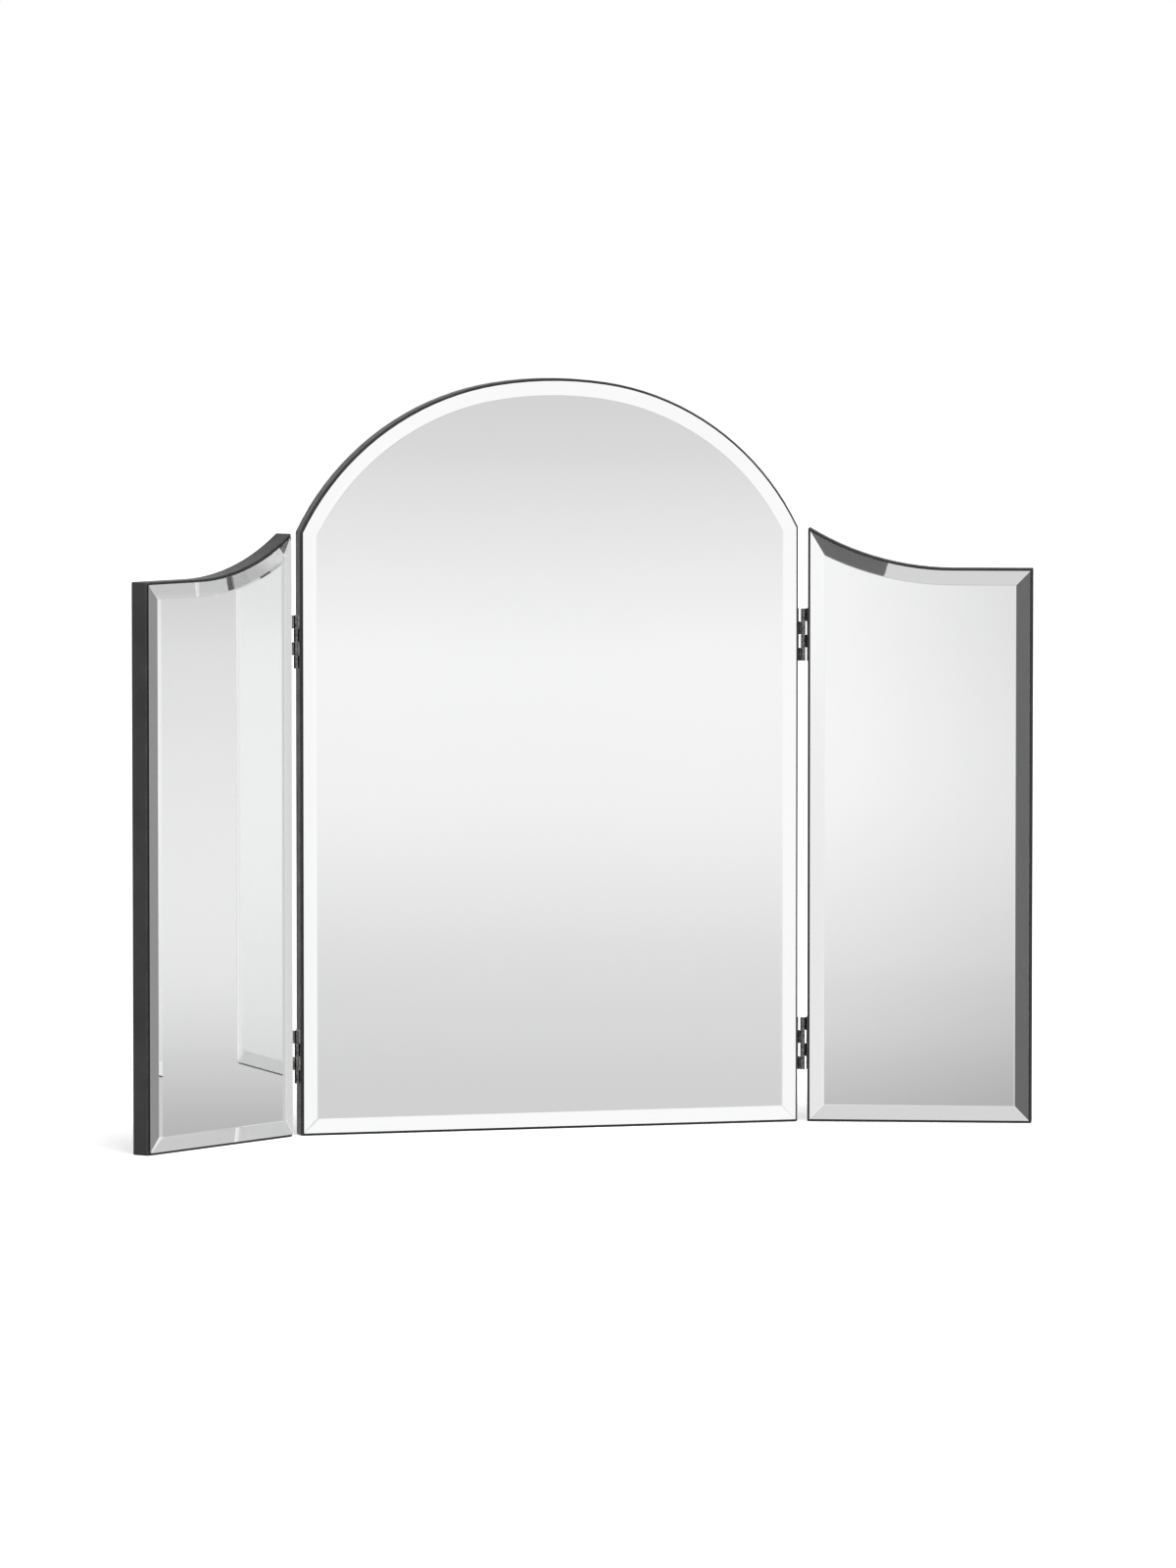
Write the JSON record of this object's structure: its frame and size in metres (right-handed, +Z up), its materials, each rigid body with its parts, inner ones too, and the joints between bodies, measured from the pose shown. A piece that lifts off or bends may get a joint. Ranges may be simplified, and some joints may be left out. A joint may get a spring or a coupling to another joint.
{
  "type": "dressing table mirror",
  "caption": "Free-standing folding dressing table mirror: an arched bevelled mirror with a hinged wing at each side, each wing with a scooped top.",
  "frame": {"origin": "middle of the centre board's foot, on the surface it stands on", "axes": "X runs across the centre panel to the right as seen from the front, Y points to its back so the mirrors face -Y, and Z is up"},
  "size_m": [0.7132, 0.1209, 0.5679],
  "materials": {
    "painted_board": "charcoal grey satin paint",
    "mirror_glass": "polished, bevelled all round",
    "foam_tape": "matt foam",
    "hinge_steel": "dark satin plating",
    "screw_steel": "dark satin plating"
  },
  "bodies": {
    "centre_panel": {"centre_board": "painted_board", "centre_mirror": "mirror_glass", "centre_tape": "foam_tape", "left_lower_hinge_centre_leaf": "hinge_steel", "left_lower_hinge_pin": "hinge_steel", "left_lower_hinge_centre_screws": "screw_steel", "left_upper_hinge_centre_leaf": "hinge_steel", "left_upper_hinge_pin": "hinge_steel", "left_upper_hinge_centre_screws": "screw_steel", "right_lower_hinge_centre_leaf": "hinge_steel", "right_lower_hinge_pin": "hinge_steel", "right_lower_hinge_centre_screws": "screw_steel", "right_upper_hinge_centre_leaf": "hinge_steel", "right_upper_hinge_pin": "hinge_steel", "right_upper_hinge_centre_screws": "screw_steel"},
    "left_wing": {"left_wing_board": "painted_board", "left_wing_mirror": "mirror_glass", "left_wing_tape": "foam_tape", "left_lower_hinge_wing_leaf": "hinge_steel", "left_lower_hinge_wing_screws": "screw_steel", "left_upper_hinge_wing_leaf": "hinge_steel", "left_upper_hinge_wing_screws": "screw_steel"},
    "right_wing": {"right_wing_board": "painted_board", "right_wing_mirror": "mirror_glass", "right_wing_tape": "foam_tape", "right_lower_hinge_wing_leaf": "hinge_steel", "right_lower_hinge_wing_screws": "screw_steel", "right_upper_hinge_wing_leaf": "hinge_steel", "right_upper_hinge_wing_screws": "screw_steel"}
  },
  "joints": [
    {"name": "left_wing_hinge", "type": "hinge", "parent": "centre_panel", "child": "left_wing", "pos_m": [-0.1985, -0.0085, 0.216], "axis": [0, 0, 1], "range_deg": [-57.5, 122.5]},
    {"name": "right_wing_hinge", "type": "hinge", "parent": "centre_panel", "child": "right_wing", "pos_m": [0.1985, -0.0085, 0.216], "axis": [0, 0, -1], "range_deg": [-40.5, 139.5]}
  ]
}
